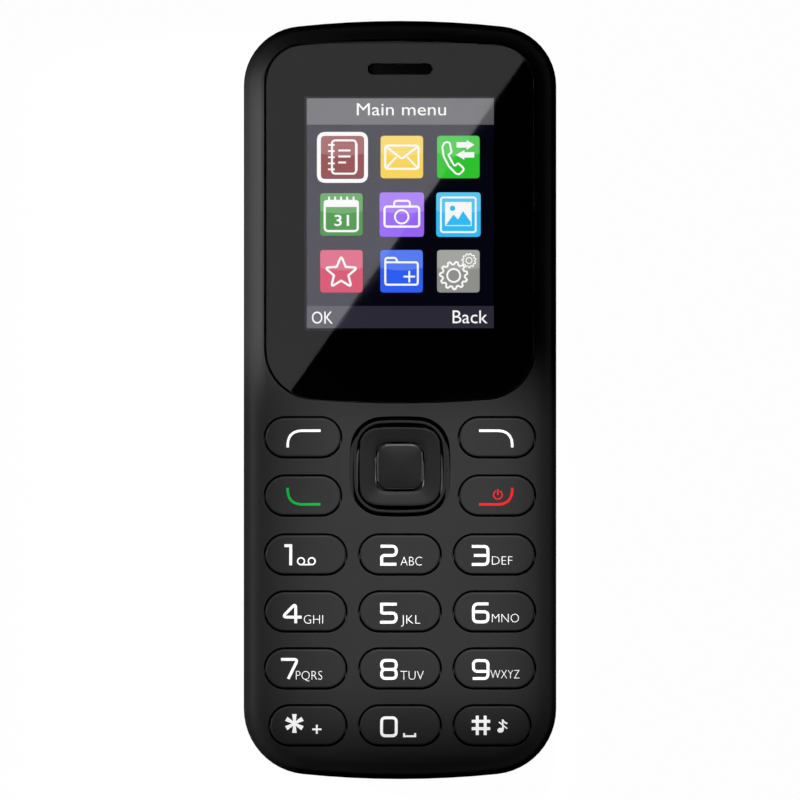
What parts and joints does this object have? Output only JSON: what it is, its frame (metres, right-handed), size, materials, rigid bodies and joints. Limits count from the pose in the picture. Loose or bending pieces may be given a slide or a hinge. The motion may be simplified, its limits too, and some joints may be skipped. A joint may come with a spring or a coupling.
{
  "type": "mobile phone",
  "caption": "Bar-shaped mobile phone with a colour screen behind a glossy window, a five-way navigation pad and pill-shaped keys.",
  "frame": {"origin": "middle of the back cover's flat face, midway along and across the body", "axes": "+X to the right of the keypad, +Y to the earpiece end, +Z out of the screen; the phone lies on its back"},
  "size_m": [0.0474, 0.115, 0.0143],
  "materials": {
    "housing": "satin",
    "key": "satin",
    "window": "clear gloss",
    "mask": "printed black",
    "screen": "gloss",
    "steel": "pressed sheet",
    "contact": "plated",
    "trim": "gloss",
    "nav": "semi gloss",
    "silicone": "matte",
    "foam": "matte",
    "board": "lacquered",
    "chip": "matte",
    "flex": "satin",
    "battery": "satin",
    "card": "satin",
    "black_plastic": "satin",
    "carrier": "satin",
    "copper": "plated",
    "lens": "gloss"
  },
  "bodies": {
    "phone_body": {"front_housing": "housing", "rear_housing": "housing", "display_window": "window", "window_mask": "mask", "display_gasket": "foam", "lcd_glass": "screen", "lcd_frame": "steel", "display_flex": "flex", "earpiece_mesh": "steel", "earpiece": "black_plastic", "nav_frame": "trim", "keypad_mat": "silicone", "dome_sheet": "steel", "main_board": "board", "board_chips": "chip", "shield_radio": "steel", "shield_processor": "steel", "battery_contacts": "contact", "sim_holder": "steel", "card_slot": "steel", "loudspeaker": "black_plastic", "loudspeaker_mesh": "steel", "motor_case": "steel", "motor_holder": "silicone", "microphone": "steel", "mic_boot": "silicone", "data_port": "steel", "audio_socket": "black_plastic", "camera_module": "black_plastic", "camera_window": "lens", "antenna_carrier": "carrier", "antenna_pattern": "copper", "case_screws": "steel"},
    "key_left": {"key_left": "key"},
    "key_right": {"key_right": "key"},
    "key_call": {"key_call": "key"},
    "key_end": {"key_end": "key"},
    "key_1": {"key_1": "key"},
    "key_2": {"key_2": "key"},
    "key_3": {"key_3": "key"},
    "key_4": {"key_4": "key"},
    "key_5": {"key_5": "key"},
    "key_6": {"key_6": "key"},
    "key_7": {"key_7": "key"},
    "key_8": {"key_8": "key"},
    "key_9": {"key_9": "key"},
    "key_star": {"key_star": "key"},
    "key_0": {"key_0": "key"},
    "key_hash": {"key_hash": "key"},
    "nav_centre": {"nav_centre": "nav"},
    "nav_pivot": {"nav_pivot": "steel"},
    "nav_ring": {"nav_ring": "nav"},
    "battery_cover": {"battery_cover": "housing"},
    "battery": {"battery": "battery"},
    "sim_card": {"sim_card": "card"},
    "memory_card": {"memory_card": "black_plastic"},
    "motor_weight": {"motor_weight": "steel"}
  },
  "joints": [
    {"name": "key_left_press", "type": "slide", "parent": "phone_body", "child": "key_left", "axis": [0, 0, -1], "range_m": [0, 0.0003], "stiffness_N_per_m": 3000, "springref_m": -0.0002},
    {"name": "key_right_press", "type": "slide", "parent": "phone_body", "child": "key_right", "axis": [0, 0, -1], "range_m": [0, 0.0003], "stiffness_N_per_m": 3000, "springref_m": -0.0002},
    {"name": "key_call_press", "type": "slide", "parent": "phone_body", "child": "key_call", "axis": [0, 0, -1], "range_m": [0, 0.0003], "stiffness_N_per_m": 3000, "springref_m": -0.0002},
    {"name": "key_end_press", "type": "slide", "parent": "phone_body", "child": "key_end", "axis": [0, 0, -1], "range_m": [0, 0.0003], "stiffness_N_per_m": 3000, "springref_m": -0.0002},
    {"name": "key_1_press", "type": "slide", "parent": "phone_body", "child": "key_1", "axis": [0, 0, -1], "range_m": [0, 0.0003], "stiffness_N_per_m": 3000, "springref_m": -0.0002},
    {"name": "key_2_press", "type": "slide", "parent": "phone_body", "child": "key_2", "axis": [0, 0, -1], "range_m": [0, 0.0003], "stiffness_N_per_m": 3000, "springref_m": -0.0002},
    {"name": "key_3_press", "type": "slide", "parent": "phone_body", "child": "key_3", "axis": [0, 0, -1], "range_m": [0, 0.0003], "stiffness_N_per_m": 3000, "springref_m": -0.0002},
    {"name": "key_4_press", "type": "slide", "parent": "phone_body", "child": "key_4", "axis": [0, 0, -1], "range_m": [0, 0.0003], "stiffness_N_per_m": 3000, "springref_m": -0.0002},
    {"name": "key_5_press", "type": "slide", "parent": "phone_body", "child": "key_5", "axis": [0, 0, -1], "range_m": [0, 0.0003], "stiffness_N_per_m": 3000, "springref_m": -0.0002},
    {"name": "key_6_press", "type": "slide", "parent": "phone_body", "child": "key_6", "axis": [0, 0, -1], "range_m": [0, 0.0003], "stiffness_N_per_m": 3000, "springref_m": -0.0002},
    {"name": "key_7_press", "type": "slide", "parent": "phone_body", "child": "key_7", "axis": [0, 0, -1], "range_m": [0, 0.0003], "stiffness_N_per_m": 3000, "springref_m": -0.0002},
    {"name": "key_8_press", "type": "slide", "parent": "phone_body", "child": "key_8", "axis": [0, 0, -1], "range_m": [0, 0.0003], "stiffness_N_per_m": 3000, "springref_m": -0.0002},
    {"name": "key_9_press", "type": "slide", "parent": "phone_body", "child": "key_9", "axis": [0, 0, -1], "range_m": [0, 0.0003], "stiffness_N_per_m": 3000, "springref_m": -0.0002},
    {"name": "key_star_press", "type": "slide", "parent": "phone_body", "child": "key_star", "axis": [0, 0, -1], "range_m": [0, 0.0003], "stiffness_N_per_m": 3000, "springref_m": -0.0002},
    {"name": "key_0_press", "type": "slide", "parent": "phone_body", "child": "key_0", "axis": [0, 0, -1], "range_m": [0, 0.0003], "stiffness_N_per_m": 3000, "springref_m": -0.0002},
    {"name": "key_hash_press", "type": "slide", "parent": "phone_body", "child": "key_hash", "axis": [0, 0, -1], "range_m": [0, 0.0003], "stiffness_N_per_m": 3000, "springref_m": -0.0002},
    {"name": "nav_centre_press", "type": "slide", "parent": "phone_body", "child": "nav_centre", "axis": [0, 0, -1], "range_m": [0, 0.00025], "stiffness_N_per_m": 3000, "springref_m": -0.0002},
    {"name": "nav_tilt_up_down", "type": "hinge", "parent": "phone_body", "child": "nav_pivot", "pos_m": [0, -0.01009, 0.01145], "axis": [1, 0, 0], "range_deg": [-1.5, 1.5], "stiffness_Nm_per_rad": 0.5},
    {"name": "nav_tilt_left_right", "type": "hinge", "parent": "nav_pivot", "child": "nav_ring", "pos_m": [0, -0.01009, 0.01145], "axis": [0, 1, 0], "range_deg": [-1.5, 1.5], "stiffness_Nm_per_rad": 0.5},
    {"name": "cover_off", "type": "slide", "parent": "phone_body", "child": "battery_cover", "axis": [0, 0, -1], "range_m": [0, 0.016]},
    {"name": "battery_out", "type": "slide", "parent": "phone_body", "child": "battery", "axis": [0, 0, -1], "range_m": [0, 0.008]},
    {"name": "sim_slide", "type": "slide", "parent": "phone_body", "child": "sim_card", "axis": [0, -1, 0], "range_m": [0, 0.006]},
    {"name": "memory_card_slide", "type": "slide", "parent": "phone_body", "child": "memory_card", "axis": [0, -1, 0], "range_m": [0, 0.004]},
    {"name": "motor_spin", "type": "hinge", "parent": "phone_body", "child": "motor_weight", "pos_m": [-0.006, 0.05, 0.0034], "axis": [1, 0, 0], "continuous": true}
  ],
  "couplings": [
    {"joint": "battery_out", "follows": "cover_off", "ratio": 0.5}
  ]
}
